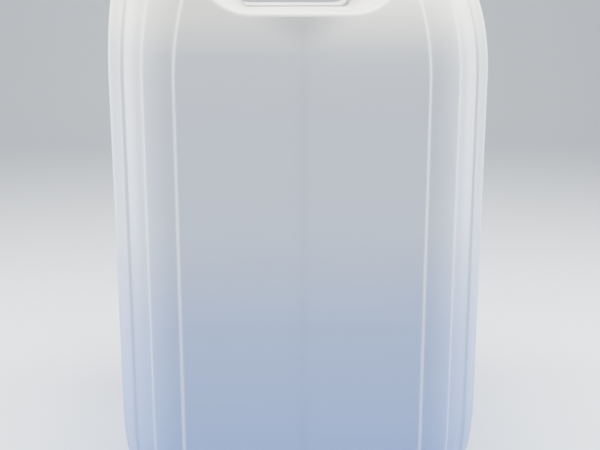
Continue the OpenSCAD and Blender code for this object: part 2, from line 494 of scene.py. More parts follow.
    def shell(self) -> bpy.types.Object:
        """The closed outer form before the scoop is cut, as an even grid.

        Returns:
            The solid.
        """
        plan = self.plan()
        top = self.top_at(plan[:, 0])
        rings = []
        for inset, z, a in self.levels():
            height = np.full(len(plan), z)
            if a >= 0:
                height = self.shoulder_z + (top - self.shoulder_z) * math.sin(a)
            grow = self.corner_growth(height)[:, None] * self.rounder(plan)
            rings.append(np.column_stack([plan[:, :2] - plan[:, 2:] * inset - grow, height]))
        n, m, rows = len(plan), self.quarter_count, len(rings)
        points = list(np.vstack(rings))
        faces = grid_faces(rows, n)
        faces.append(tuple(range(n))[::-1])
        last = (rows - 1) * n
        across = int(self.depth / self.spacing)
        columns = []
        for k in range(n - m + 1, n + m):
            front = last + k % n
            back = last + (n // 2 - k) % n
            column = [front]
            if n - m + 1 < k < n + m - 1:
                for t in np.arange(1, across) / across:
                    column.append(len(points))
                    points.append(points[front] * (1 - t) + points[back] * t)
            column.append(back)
            columns.append(column)
        for left, right in zip(columns, columns[1:]):
            if len(left) == len(right):
                faces += [
                    (left[j], right[j], right[j + 1], left[j + 1]) for j in range(len(left) - 1)
                ]
            elif len(left) < len(right):
                faces += [(left[0], right[j], right[j + 1]) for j in range(len(right) - 1)]
                faces.append((left[0], right[-1], left[-1]))
            else:
                faces += [(left[j], right[0], left[j + 1]) for j in range(len(left) - 1)]
                faces.append((left[-1], right[0], right[-1]))
        return new_object("shell", np.array(points), faces)

    def face_y(self, x: np.ndarray, z: np.ndarray) -> np.ndarray:
        """How far from the middle the front and back faces lie, leaning in at the shoulder."""
        rise = clamp01((z - self.shoulder_z) / (self.top_at(x) - self.shoulder_z))
        return self.depth / 2 - self.shoulder_in * (1 - np.sqrt(1 - rise**2))

    def flare_at(self, y: np.ndarray) -> np.ndarray:
        """How far the scoop has flared between the handle and a face.

        Args:
            y: places along the depth.

        Returns:
            0 under the handle, 1 at a face, and more beyond it.
        """
        ledge_y = float(self.face_y(np.array(0.0), np.array(self.ledge_z)))
        share = (np.abs(y) - self.handle_w / 2) / (ledge_y - self.handle_w / 2)
        return np.maximum(share, 0) ** self.flare_power

    def scoop_section(self, y: np.ndarray) -> tuple[np.ndarray, np.ndarray]:
        """The scoop's outline at places along the depth.

        Args:
            y: the places.

        Returns:
            Half the length of the flat ledge, and the radius at its ends.
        """
        flare = np.minimum(self.flare_at(y), self.flare_most)
        straight = self.hole_half - self.hole_r
        half = straight + (self.ledge_half - straight) * np.minimum(flare, 1)
        return half, self.hole_r + (self.flare_r - self.hole_r) * flare

    def scoop(self) -> bpy.types.Object:
        """The cutter for the ledge and the hand hole.

        Returns:
            The solid, running past both faces.
        """
        reach = self.depth / 2 + self.spacing
        inner = np.linspace(0, reach, int(reach / self.spacing))
        ys = np.concatenate([-inner[:0:-1], inner])
        half, r = self.scoop_section(ys)
        ceiling = self.height + 10 * MM
        rings = []
        for y, c, rr in zip(ys, half, r):
            side = [(float(c), self.ledge_z)]
            side += [
                (c + rr * math.sin(a), self.ledge_z + rr * (1 - math.cos(a)))
                for a in np.linspace(0, math.pi / 2, 25)[1:]
            ]
            high = max(ceiling, side[-1][1] + 1 * MM)
            side += [(side[-1][0], side[-1][1] + (high - side[-1][1]) * t) for t in (0.33, 0.66, 1)]
            flat = [(float(x), self.ledge_z) for x in np.linspace(0, c, 13)[:-1]]
            right = flat + side
            roof = [(x, high) for x in np.linspace(right[-1][0], -right[-1][0], 12)[1:-1]]
            left = [(-x, z) for x, z in right[:0:-1]]
            rings.append([(x, y, z) for x, z in right + roof + left])
        return lofted("scoop", np.array(rings)[:, ::-1])

    def handle(self) -> bpy.types.Object:
        """The bent bar over the hand hole, with a leg at each end.

        Returns:
            The solid.
        """
        bend = np.linspace(0, 90, 16)
        foot = 14 * MM
        stations = [(-1, 90.0, foot * t) for t in (1, 0.5)]
        stations += [(-1, float(a), 0.0) for a in bend[::-1]]
        straight = self.hole_half - self.grip_r
        bar = np.linspace(-straight, straight, 26)[1:-1]
        rings = [self.handle_ring(*s) for s in stations]
        rings += [self.handle_ring(1, 0.0, 0.0) + np.array([x - straight, 0, 0]) for x in bar]
        rings += [self.handle_ring(1, float(a), 0.0) for a in bend]
        rings += [self.handle_ring(1, 90.0, foot * t) for t in (0.5, 1)]
        return lofted("handle", np.array(rings)[:, ::-1])

    def handle_ring(self, side: int, angle: float, drop: float) -> np.ndarray:
        """One ring round the handle.

        Args:
            side: 1 beside the neck, -1 beside the rear shoulder.
            angle: degrees of bend, from level to upright.
            drop: how far below the bend the ring lies.

        Returns:
            The ring's points.
        """
        t = float(self.bar_thickness(np.array(float(side)), np.array(angle)))
        r = min(self.handle_edge, t / 2 - 0.5 * MM)
        a = math.radians(angle)
        x = self.hole_half - self.grip_r * (1 - math.sin(a))
        z = self.height - self.handle_t - self.grip_r * (1 - math.cos(a)) - drop
        ring = []
        for corner in range(4):
            middle = math.radians(90 * corner + 45)
            for b in np.radians(90 * corner + np.linspace(0, 90, 8)):
                u = t / 2 + (t / 2 - r) * np.sign(math.cos(middle)) + r * math.cos(b)
                v = (self.handle_w / 2 - r) * np.sign(math.sin(middle)) + r * math.sin(b)
                ring.append((side * (x + u * math.sin(a)), v, z + u * math.cos(a)))
        return np.array(ring)

    def bar_thickness(self, side: np.ndarray, angle: np.ndarray) -> np.ndarray:
        """Thickness of the handle, which thins down the leg beside the neck."""
        thin = (self.leg_t - self.handle_t) * smooth(angle / 90)
        return self.handle_t + np.where(side > 0, thin, 0)

    def shell_distance(self, p: np.ndarray) -> np.ndarray:
        """Distance from the shell's upper half.

        Args:
            p: points, one row each.

        Returns:
            The distance of each point, negative inside.
        """
        radius = self.corner_r + self.corner_growth(p[:, 2])
        qx = np.abs(p[:, 0]) - self.length / 2 + radius
        qy = np.abs(p[:, 1]) - self.depth / 2 + radius
        corner = np.hypot(np.maximum(qx, 0), np.maximum(qy, 0))
        plan = corner_distance(qx, qy) - radius
        angle = np.degrees(np.arctan2(np.maximum(qx, 0), np.maximum(qy, 0)))
        inset = -(plan + self.step_at(angle) * smooth(corner / radius * 1.6))
        rise = np.maximum(p[:, 2] - self.shoulder_z, 0) / (self.top_at(p[:, 0]) - self.shoulder_z)
        lean = np.maximum(1 - inset / self.shoulder_in, 0)
        size = np.hypot(lean, rise)
        tall = self.top_at(p[:, 0]) - self.shoulder_z
        slope = np.hypot(lean / self.shoulder_in, rise / tall) / np.maximum(size, 1e-9)
        return np.where(rise > 0, (size - 1) / np.maximum(slope, 1e-9), -inset)

    def scoop_distance(self, p: np.ndarray) -> np.ndarray:
        """Distance from the scoop.

        Args:
            p: points, one row each.

        Returns:
            The distance of each point, negative inside.
        """
        half, r = self.scoop_section(p[:, 1])
        return corner_distance(np.abs(p[:, 0]) - half, self.ledge_z + r - p[:, 2]) - r

    def handle_distance(self, p: np.ndarray) -> np.ndarray:
        """Distance from the handle.

        Args:
            p: points, one row each.

        Returns:
            The distance of each point, negative inside.
        """
        a = np.abs(p[:, 0]) - self.hole_half + self.grip_r
        b = p[:, 2] - self.height + self.handle_t + self.grip_r
        u = corner_distance(a, b) - self.grip_r
        angle = np.degrees(np.arctan2(np.maximum(a, 0), np.maximum(b, 0)))
        t = self.bar_thickness(np.sign(p[:, 0]), angle)
        r = np.minimum(self.handle_edge, t / 2 - 0.5 * MM)
        qu = np.abs(u - t / 2) - t / 2 + r
        qv = np.abs(p[:, 1]) - self.handle_w / 2 + r
        return corner_distance(qu, qv) - r

    def block_distance(self, p: np.ndarray) -> np.ndarray:
        """Distance from the shell with the scoop cut away and the edges rounded."""
        return round_cut(self.shell_distance(p), self.scoop_distance(p), self.edge_round)

    def form_distance(self, p: np.ndarray) -> np.ndarray:
        """Distance from the whole upper form, with its edges and junctions rounded.

        The fillet fades out where the handle runs on in the shell's own direction.

        Args:
            p: points, one row each.

        Returns:
            The distance of each point, negative inside.
        """
        side = self.gradient(self.block_distance, p)
        bar = self.gradient(self.handle_distance, p)
        alike = np.maximum((side * bar).sum(axis=1), 0)
        fillet = self.join_round * (1 - smooth((alike - 0.3) / 0.6)) + 1e-9
        return round_join(self.block_distance(p), self.handle_distance(p), fillet)

    @staticmethod
    def gradient(distance: Callable[[np.ndarray], np.ndarray], p: np.ndarray) -> np.ndarray:
        """Outward direction of a distance field.

        Args:
            distance: a function from points to distances.
            p: the points.

        Returns:
            One direction of length 1 for each point.
        """
        h = 0.1 * MM
        parts = []
        for k in range(3):
            d = np.zeros(3)
            d[k] = h
            parts.append((distance(p + d) - distance(p - d)) / (2 * h))
        g = np.stack(parts, axis=1)
        return g / np.maximum(np.linalg.norm(g, axis=1, keepdims=True), 1e-9)

    def near_junction(self, p: np.ndarray, reach: float) -> np.ndarray:
        """Finds the points near an edge of the scoop or a junction of the handle.

        Args:
            p: points, one row each.
            reach: how near they have to be.

        Returns:
            True or False for each point.
        """
        shell, scoop = self.shell_distance(p), self.scoop_distance(p)
        block = np.maximum(shell, -scoop)
        edge = (np.abs(shell) < reach) & (np.abs(scoop) < reach)
        join = (np.abs(block) < reach) & (np.abs(self.handle_distance(p)) < reach)
        return (edge | join) & (p[:, 2] > self.ledge_z - reach)

    def rounded_off(self, obj: bpy.types.Object) -> None:
        """Rounds the edges of the scoop and the junctions of the handle.

        Long edges near them are split, then every point of the upper form is moved onto the
        form with its roundings.

        Args:
            obj: the plain form.
        """
        reach = self.join_round + 3 * MM
        bm = bmesh.new()
        bm.from_mesh(obj.data)
        bmesh.ops.triangulate(bm, faces=bm.faces)
        for limit in (self.spacing, self.fine_spacing):
            co = np.array([v.co for v in bm.verts])
            near = self.near_junction(co, reach)
            bm.verts.ensure_lookup_table()
            chosen = [
                e for e in bm.edges
                if (near[e.verts[0].index] or near[e.verts[1].index]) and e.calc_length() > limit
            ]
            bmesh.ops.subdivide_edges(bm, edges=chosen, cuts=1)
            bmesh.ops.triangulate(bm, faces=[f for f in bm.faces if len(f.verts) > 3])
            bm.verts.index_update()
        for _ in range(6):
            bm.verts.index_update()
            near = self.near_junction(np.array([v.co for v in bm.verts]), reach)
            weld_edges(bm, [
                e for e in bm.edges
                if e.calc_length() < self.short_edge and all(near[v.index] for v in e.verts)
            ])
        for turn in range(5):
            self.settle(bm, reach, relax=turn > 0)
        for _ in range(3):
            bm.normal_update()
            faces = [f for f in bm.faces if f.calc_center_median().z > self.shoulder_z]
            middle = np.array([f.calc_center_median() for f in faces])
            out = (self.gradient(self.form_distance, middle) * [f.normal for f in faces]).sum(axis=1)
            folded = [f for f, dot in zip(faces, out) if dot < 0]
            weld_edges(bm, [min(f.edges, key=lambda e: e.calc_length()) for f in folded])
        bm.to_mesh(obj.data)
        bm.free()

    def settle(self, bm: bmesh.types.BMesh, reach: float, relax: bool) -> None:
        """Moves the points near an edge or junction onto the rounded form.

        Args:
            bm: the mesh, changed in place.
            reach: how far from an edge or junction points are moved.
            relax: evens the points out first.
        """
        near = self.near_junction(np.array([v.co for v in bm.verts]), reach)
        verts = [v for v, flag in zip(bm.verts, near) if flag]
        co = np.array([v.co for v in verts])
        if relax:
            for k, v in enumerate(verts):
                linked = [e.other_vert(v).co for e in v.link_edges]
                middle = sum(linked, Vector()) / len(linked)
                co[k] += (np.array(middle) - co[k]) * 0.5
        for _ in range(3):
            shift = self.form_distance(co)
            push = self.gradient(self.form_distance, co) * shift[:, None]
            size = np.linalg.norm(push, axis=1, keepdims=True)
            co -= push * np.minimum(1, 2 * MM / np.maximum(size, 1e-9))
        co[:, 2] = np.minimum(co[:, 2], self.height)
        for v, place in zip(verts, co):
            v.co = place

    def with_hollow(self, obj: bpy.types.Object) -> None:
        """Adds the inner face of the blown wall, one wall's thickness inside the outer one.

        Args:
            obj: the can, closed and without an inner face.
        """
        mesh = obj.data
        count = len(mesh.vertices)
        co = np.zeros(count * 3)
        normal = np.zeros(count * 3, np.float32)
        mesh.vertices.foreach_get("co", co)
        mesh.vertex_normals.foreach_get("vector", normal)
        outer = co.reshape(-1, 3)
        inner = outer - normal.reshape(-1, 3) * self.wall
        faces = [tuple(p.vertices) for p in mesh.polygons]
        faces += [tuple(count + v for v in reversed(face)) for face in faces]
        points = np.vstack([outer, inner])
        made = bpy.data.meshes.new("can")
        made.from_pydata(points.tolist(), [], faces)
        made.polygons.foreach_set("use_smooth", np.ones(len(made.polygons), bool))
        obj.data = made
        bpy.data.meshes.remove(mesh)

    def neck(self) -> bpy.types.Object:
        """The neck as a plug, with its thread, bead and ratchet teeth.

        Returns:
            The solid, before the way through it is cut.
        """
        low, high = self.platform_z, self.platform_z + self.neck_h
        bead_top = self.bead_z + self.bead_h
        rows = np.concatenate([
            [low - 3 * MM, low - 2.9 * MM],
            np.linspace(low - 1.5 * MM, self.bead_z - 0.05 * MM, 22),
            np.linspace(self.bead_z, bead_top + 0.3 * MM, 13),
            np.linspace(bead_top + 0.6 * MM, high - self.lip, 44),
            high - self.lip * (1 - np.sin(np.linspace(0.3, math.pi / 2, 6))),
            [high],
        ])
        turn, z = whole_turn(288, rows)
        foot = clamp01(1 - (z - low) / self.neck_foot)
        fillet = self.neck_foot * (1 - np.sqrt(1 - foot**2))
        radius = self.neck_r + fillet * (z < low + self.neck_foot)
        tooth = (turn * self.tooth_count) % 1 / 0.3
        rise = smooth((low + self.tooth_h - z) / (0.5 * MM)) * np.where(tooth < 1, tooth, 0)
        radius = np.maximum(radius, self.neck_r + self.tooth_out * rise)
        slope = clamp01((bead_top - z) / (self.bead_h - self.bead_edge)) * (z >= self.bead_z)
        radius = np.maximum(radius, self.neck_r + (self.bead_r - self.neck_r) * slope)
        ridge = thread(z, turn, low + self.thread_start, high - self.thread_end)
        radius += (self.thread_r - self.neck_r) * ridge
        over = clamp01((z - high + self.lip) / self.lip)
        radius -= self.lip * (1 - np.sqrt(1 - over**2))
        return lathed("neck", radius, z, self.neck_x)

    def bore(self) -> bpy.types.Object:
        """The cutter for the way through the neck, with a rounded lip.

        Returns:
            The solid.
        """
        high = self.platform_z + self.neck_h
        a = np.linspace(0, math.pi / 2, 6)
        low = self.platform_z - 5 * MM
        z = np.concatenate([[low, low], high - self.lip * (1 - np.sin(a)), [high + 1 * MM] * 2])
        r = self.bore_r + self.lip * (1 - np.cos(a))
        r = np.concatenate([[0, self.bore_r], r, [self.bore_r + self.lip, 0]])
        ones = np.ones(160)
        return lathed("bore", np.outer(r, ones), np.outer(z, ones), self.neck_x)

    def build(self) -> bpy.types.Object:
        """Makes the whole blown piece.

        Returns:
            The can, with its outer and inner faces.
        """
        can = self.shell()
        combine(can, self.scoop(), Operation.CUT)
        combine(can, self.handle(), Operation.JOIN)
        self.rounded_off(can)
        self.with_hollow(can)
        combine(can, self.neck(), Operation.JOIN)
        combine(can, self.bore(), Operation.CUT)
        can.name = "blown_can"
        can.data.set_sharp_from_angle(angle=math.radians(50))
        return can


@dataclass
class ScrewCap:
    """The ribbed cap with its inner thread, in metres."""

    axis_x: float
    low: float
    top: float
    outer_r: float
    rib_h: float = 1.2 * MM
    rib_w: float = 1.8 * MM
    rib_count: int = 48
    wall: float = 2.2 * MM
    top_t: float = 2.4 * MM
    edge: float = 2 * MM
    recess: float = 0.6 * MM
    recess_r: float = 26 * MM
    inner_edge: float = 1 * MM
    gate_r: float = 1 * MM
    gate_depth: float = 0.25 * MM
    thread_in: float = 2.7 * MM

    def profile(self) -> np.ndarray:
        """The cap's section, from under its top, down inside, and up outside to the gate mark.

        Returns:
            Radius, height, and 1 on the inner wall or 2 on the outer one.
        """
        low, top, e = self.low, self.top, self.inner_edge
        skirt_r = self.outer_r - self.rib_h
        inner_r = skirt_r - self.wall
        roof, floor = top - self.top_t, top - self.recess
        quarter = np.linspace(0, math.pi / 2, 9)[1:]
        rows = [(r, roof, 0) for r in np.linspace(0, inner_r - e, 6)]
        rows += [
            (inner_r - e * (1 - math.sin(a)), roof - e * (1 - math.cos(a)), 0)
            for a in np.linspace(0.3, math.pi / 2, 4)
        ]
        rows += [(inner_r, z, 1) for z in np.linspace(roof - 1.2 * MM, low + 0.6 * MM, 46)]
        rows += [(inner_r + 0.3 * MM, low + 0.1 * MM, 0), (inner_r + 0.6 * MM, low, 0)]
        rows += [(skirt_r - 0.4 * MM, low, 0), (skirt_r - 0.1 * MM, low + 0.1 * MM, 0)]
        rows += [(skirt_r, z, 2) for z in np.linspace(low + 0.4 * MM, top - self.edge, 40)]
        rows += [
            (skirt_r - self.edge * (1 - math.cos(a)), top - self.edge * (1 - math.sin(a)), 0)
            for a in quarter
        ]
        rows += [(r, top, 0) for r in np.linspace(skirt_r - self.edge - e, self.recess_r + e, 4)]
        rows += [
            (self.recess_r + e * (1 - t), top - self.recess * float(smooth(t)), 0)
            for t in np.linspace(0, 1, 6)[1:]
        ]
        rows += [(r, floor, 0) for r in np.linspace(self.recess_r - e, 1.4 * self.gate_r, 8)]
        rows += [(self.gate_r, floor - 0.8 * self.gate_depth, 0)]
        rows += [(r, floor - self.gate_depth, 0) for r in (self.gate_r / 2, 0.0)]
        return np.array(rows)

    def build(self) -> bpy.types.Object:
        """Makes the cap.

        Returns:
            The closed solid.
        """
        rows = self.profile()
        turn, radius, z = turned_section(self.rib_count * 9, rows)
        wall = rows[:, 2][:, None]
        roof = self.top - self.top_t
        ridge = thread(z, turn, self.low + 2.2 * MM, roof - 4.2 * MM, phase=0.5)
        radius -= (wall == 1) * self.thread_in * ridge
        share = np.abs((turn * self.rib_count + 0.5) % 1 - 0.5)
        off = share * 2 * math.pi * self.outer_r / self.rib_count
        rib = smooth((self.rib_w / 2 + 0.1 * MM - off) / (0.5 * MM))
        rib = rib * smooth((self.top - self.edge - z) / (1.2 * MM))
        rib = rib * smooth((z - self.low) / (0.8 * MM) + 0.2)
        radius += (wall == 2) * self.rib_h * rib
        cap = lathed("screw_cap_top", radius, z, self.axis_x)
        cap.data.set_sharp_from_angle(angle=CRISP)
        return cap


@dataclass
class SealingDisc:
    """The foam disc under the cap's top, in metres."""

    axis_x: float
    low: float
    top: float
    radius: float
    lip_r: float = 26.2 * MM
    mark_depth: float = 0.15 * MM
    mark_w: float = 1.2 * MM
    edge: float = 0.4 * MM

    def build(self) -> bpy.types.Object:
        """Makes the disc, with the shallow ring that the neck's lip has pressed into it.

        Returns:
            The closed solid.
        """
        under = np.linspace(0, self.radius - self.edge, 60)
        mark = self.mark_depth * np.exp(-(((under - self.lip_r) / self.mark_w) ** 2))
        rows = list(zip(under, self.low + mark))
        mid = (self.low + self.top) / 2
        for a in np.linspace(-math.pi / 2, math.pi / 2, 9):
            end = self.low + self.edge if a < 0 else self.top - self.edge
            z = mid if abs(a) < 1e-6 else end + self.edge * math.sin(a)
            rows.append((self.radius - self.edge * (1 - math.cos(a)), z))
        rows += [(r, self.top) for r in np.linspace(self.radius - self.edge, 0, 12)[1:]]
        _, radius, z = turned_section(160, np.array(rows))
        return lathed("sealing_disc", radius, z, self.axis_x)


@dataclass
class TamperBand:
    """The ring that breaks off the cap and stays under the neck's bead, in metres."""

    axis_x: float
    low: float
    top: float
    outer_r: float
    thickness: float = 1.9 * MM
    catch_r: float = 28.6 * MM
    catch_z: float = 4.2 * MM
    catch_h: float = 1.8 * MM
    bridge_count: int = 12
    bridge_h: float = 0.25 * MM
    edge: float = 0.25 * MM

    def build(self) -> bpy.types.Object:
        """Makes the ring, with its catch and the stubs of its broken bridges.

        Returns:
            The closed solid.
        """
        e = self.edge
        out, mid = self.outer_r, self.outer_r - self.thickness
        low, top, catch = self.low, self.top, self.low + self.catch_z
        over = catch + self.catch_h
        rows = np.array([
            (mid + e, low), ((mid + out) / 2, low), (out - e, low), (out, low + e),
            *[(out, z) for z in np.linspace(low + 1.2 * MM, top - 1.2 * MM, 6)],
            (out, top - e), (out - e, top), ((mid + out) / 2, top), (mid + e, top), (mid, top - e),
            (mid, over + e), (mid - e, over), (self.catch_r + e, over - 0.3 * MM),
            (self.catch_r, over - 0.6 * MM), (self.catch_r, catch + e), (self.catch_r + e, catch),
            (mid - e, catch), (mid, catch - e), (mid, (catch + low) / 2), (mid, low + e),
        ])
        turn, radius, z = turned_section(360, rows)
        stub = smooth((0.045 - np.abs((turn * self.bridge_count) % 1 - 0.5)) / 0.015)
        z = z + self.bridge_h * stub * (rows[:, 1][:, None] > top - 0.1 * MM)
        ring = lathed("tamper_ring", radius, z, self.axis_x, ring=True)
        ring.data.set_sharp_from_angle(angle=CRISP)
        return ring


def new_material(name: str) -> tuple[bpy.types.Material, bpy.types.NodeTree]:
    """Makes an empty material.

    Args:
        name: the material's name.

    Returns:
        The material and its node tree.
    """
    material = bpy.data.materials.new(name)
    material.use_nodes = True
    material.node_tree.nodes.clear()
    return material, material.node_tree


def arithmetic(tree: bpy.types.NodeTree, operation: str, *values: Socket | float) -> Socket:
    """One step of arithmetic between numbers or sockets."""
    return add_node(tree, "ShaderNodeMath", dict(enumerate(values)), operation=operation).outputs[0]


def colour_ramp(
    tree: bpy.types.NodeTree, value: Socket, stops: list[tuple[float, tuple]]
) -> Socket:
    """Turns a value into colours.

    Args:
        tree: the node tree.
        value: the socket that gives the place on the ramp.
        stops: places from 0 to 1 and their linear colours.

    Returns:
        The colour's socket.
    """
    node = add_node(tree, "ShaderNodeValToRGB", {0: value})
    elements = node.color_ramp.elements
    elements[0].position, elements[0].color = stops[0]
    elements[1].position, elements[1].color = stops[-1]
    for place, colour in stops[1:-1]:
        elements.new(place).color = colour
    return node.outputs["Color"]


@dataclass(frozen=True)
class BlownPolyethylene:
    """Natural high-density polyethylene as it leaves the blow mould.

    The eye sees a milky wall that lets light through, with faint flow marks and a fine parting line.
    Its colour holds painted light: nearly white where the light falls on it from above, and a cool
    blue-grey lower down that is painted shade and a painted reflection of cool surroundings.
    Painted highlights make the steps of the corners look lighter, and the ledge behind the wall
    shades the middle of the face just under it, as painted shade.
    """

    height: float = 0.442
    ledge_z: float = 0.382
    flat_x: float = 0.088
    flat_y: float = 0.065
    # Painted light by height: painted blue-grey shade and reflection low down, painted top light
    # near white high up
    painted_light_stops: tuple[tuple[float, str], ...] = (
        (0.08, "7C99D8"), (0.33, "A0B6E2"), (0.50, "CBD6E8"), (0.69, "D6DCE7"), (0.79, "DDE1E6"),
        (0.86, "FBFAF2"))
    # Angles of the corners' steps, in degrees, and how strong the painted highlight along each one
    # is
    steps: tuple[tuple[float, float], ...] = (
        (5.0, 1.0), (31.0, 0.8), (53.0, 0.5), (81.0, 0.5))
    step_highlight_strength: float = 0.25
    shade_hex: str = "5F6276"
    shade: float = 0.42
    shade_h: float = 27 * MM
    shade_w: float = 36 * MM
    # Flow marks in a metre along x, y and z: each about 200 mm long and 26 mm high
    flow_scale: tuple[float, float, float] = (5.0, 5.0, 38.0)
    flow_shift: float = 0.025
    flow_h: float = 0.4 * MM
    line_w: float = 0.5 * MM
    line_h: float = 0.2 * MM
    roughness: float = 0.36
    ior: float = 1.54
    see_through: float = 0.2

    def painted_light(self, tree: bpy.types.NodeTree, z: Socket, flow: Socket) -> Socket:
        """Painted light over the wall's height, moved a little by the flow marks: a painted top
        light near white high up, and a painted blue-grey shade and reflection lower down.

        Args:
            tree: the node tree.
            z: height of the place.
            flow: strength of the flow marks there.

        Returns:
            The colour's socket.
        """
        share = add_node(tree, "ShaderNodeMapRange", {"Value": z, "From Max": self.height})
        shift = add_node(tree, "ShaderNodeMapRange", {
            "Value": flow, "To Min": -self.flow_shift, "To Max": self.flow_shift})
        moved = arithmetic(tree, "ADD", share.outputs[0], shift.outputs[0])
        return colour_ramp(tree, moved, [(p, linear_colour(code)) for p, code in self.painted_light_stops])

    def painted_step_highlight(self, tree: bpy.types.NodeTree, x: Socket, y: Socket) -> Socket:
        """Finds where the painted highlight lies along a step of a corner.

        Args:
            tree: the node tree.
            x: place along the length.
            y: place along the depth.

        Returns:
            A grey that is bright over a step and black elsewhere.
        """
        across = arithmetic(tree, "SUBTRACT", arithmetic(tree, "ABSOLUTE", x), self.flat_x)
        along = arithmetic(tree, "SUBTRACT", arithmetic(tree, "ABSOLUTE", y), self.flat_y)
        angle = arithmetic(tree, "ARCTAN2", across, along)
        share = add_node(tree, "ShaderNodeMapRange", {"Value": angle, "From Max": math.pi / 2})
        stops = [(0.0, BLACK)]
        for place, amount in self.steps:
            middle = place / 90
            lit = (middle, (amount, amount, amount, 1.0))
            stops += [(middle - 0.03, BLACK), lit, (middle + 0.022, BLACK)]
        return colour_ramp(tree, share.outputs[0], stops)

    def ledge_shade(self, tree: bpy.types.NodeTree, x: Socket, z: Socket) -> Socket:
        """Finds where the ledge behind the wall shades it: a soft wedge with its point down.

        Args:
            tree: the node tree.
            x: place along the length.
            z: height of the place.

        Returns:
            The share of the shade, from 0 to 1.
        """
        high = add_node(tree, "ShaderNodeMapRange", {
            "Value": z, "From Min": self.ledge_z - self.shade_h, "From Max": self.ledge_z - 4 * MM})
        side = arithmetic(tree, "DIVIDE", arithmetic(tree, "ABSOLUTE", x), self.shade_w)
        wedge = arithmetic(tree, "SUBTRACT", high.outputs[0], side)
        soft = add_node(tree, "ShaderNodeMapRange", {
            "Value": wedge, "From Min": -0.35, "From Max": 0.9}, interpolation_type="SMOOTHSTEP")
        below = arithmetic(tree, "LESS_THAN", z, self.ledge_z - 3.5 * MM)
        return arithmetic(tree, "MULTIPLY", soft.outputs[0], below)

    def material(self) -> bpy.types.Material:
        """Makes the material.

        Returns:
            The material.
        """
        material, tree = new_material("natural HDPE, blow moulded")
        place = add_node(tree, "ShaderNodeTexCoord").outputs["Object"]
        x, y, z = add_node(tree, "ShaderNodeSeparateXYZ", {0: place}).outputs
        flow_place = add_node(tree, "ShaderNodeMapping", {"Vector": place, "Scale": self.flow_scale})
        flow = add_node(tree, "ShaderNodeTexNoise", {
            "Vector": flow_place.outputs[0], "Scale": 1.0, "Detail": 3.0}).outputs["Fac"]
        # Painted highlights along the corners' steps: the colour is mixed towards white there
        step_highlight_share = arithmetic(tree, "MULTIPLY", self.painted_step_highlight(tree, x, y), self.step_highlight_strength)
        lit = add_node(tree, "ShaderNodeMixRGB", {
            0: step_highlight_share, 1: self.painted_light(tree, z, flow), 2: WHITE})
        shade_share = arithmetic(tree, "MULTIPLY", self.ledge_shade(tree, x, z), self.shade)
        colour = add_node(tree, "ShaderNodeMixRGB", {
            0: shade_share, 1: lit.outputs[0], 2: linear_colour(self.shade_hex)}).outputs[0]
        line = add_node(tree, "ShaderNodeMapRange", {
            "Value": arithmetic(tree, "ABSOLUTE", y), "From Max": self.line_w, "To Min": 1.0,
            "To Max": 0.0})
        line_bump = add_node(tree, "ShaderNodeBump", {
            "Height": line.outputs[0], "Distance": self.line_h, "Strength": 0.7})
        flow_bump = add_node(tree, "ShaderNodeBump", {
            "Height": flow, "Normal": line_bump.outputs[0], "Distance": self.flow_h,
            "Strength": 0.25})
        skin = add_node(tree, "ShaderNodeBsdfPrincipled", {
            "Base Color": colour, "Roughness": self.roughness, "IOR": self.ior,
            "Normal": flow_bump.outputs[0]})
        glow = add_node(tree, "ShaderNodeBsdfTranslucent", {
            "Color": colour, "Normal": flow_bump.outputs[0]})
        both = add_node(tree, "ShaderNodeMixShader", {
            0: self.see_through, 1: skin.outputs[0], 2: glow.outputs[0]})
        add_node(tree, "ShaderNodeOutputMaterial", {"Surface": both.outputs[0]})
        return material


@dataclass(frozen=True)
class MouldedPolyethylene:
    """White polyethylene from an injection mould: clean, satin, and a little warm."""

    hex_code: str = "F0EFEA"
    roughness: float = 0.3
    ior: float = 1.54
    # Grains in a metre, so each is about 1.1 mm wide
    grain_scale: float = 900.0
    grain_h: float = 0.05 * MM

    def material(self) -> bpy.types.Material:
        """Makes the material.

        Returns:
            The material.
        """
        material, tree = new_material("white PE, injection moulded")
        place = add_node(tree, "ShaderNodeTexCoord").outputs["Object"]
        grain = add_node(tree, "ShaderNodeTexNoise", {
            "Vector": place, "Scale": self.grain_scale, "Detail": 2.0})
        bump = add_node(tree, "ShaderNodeBump", {
            "Height": grain.outputs["Fac"], "Distance": self.grain_h, "Strength": 0.3})
        skin = add_node(tree, "ShaderNodeBsdfPrincipled", {
            "Base Color": linear_colour(self.hex_code), "Roughness": self.roughness,
            "IOR": self.ior, "Normal": bump.outputs[0]})
        add_node(tree, "ShaderNodeOutputMaterial", {"Surface": skin.outputs[0]})
        return material


@dataclass(frozen=True)
class ClosedCellFoam:
    """Polyethylene foam with a smooth skin: matt, off-white, with cells that just show."""

    hex_code: str = "F1F0EA"
    roughness: float = 0.7
    # Cells in a metre, so each is about 0.4 mm wide
    cell_scale: float = 2500.0
    cell_h: float = 0.08 * MM

    def material(self) -> bpy.types.Material:
        """Makes the material.

        Returns:
            The material.
        """
        material, tree = new_material("PE foam, closed cell")
        place = add_node(tree, "ShaderNodeTexCoord").outputs["Object"]
        cells = add_node(tree, "ShaderNodeTexVoronoi", {"Vector": place, "Scale": self.cell_scale})
        bump = add_node(tree, "ShaderNodeBump", {
            "Height": cells.outputs["Distance"], "Distance": self.cell_h, "Strength": 0.4})
        skin = add_node(tree, "ShaderNodeBsdfPrincipled", {
            "Base Color": linear_colour(self.hex_code), "Roughness": self.roughness,
            "Normal": bump.outputs[0]})
        add_node(tree, "ShaderNodeOutputMaterial", {"Surface": skin.outputs[0]})
        return material


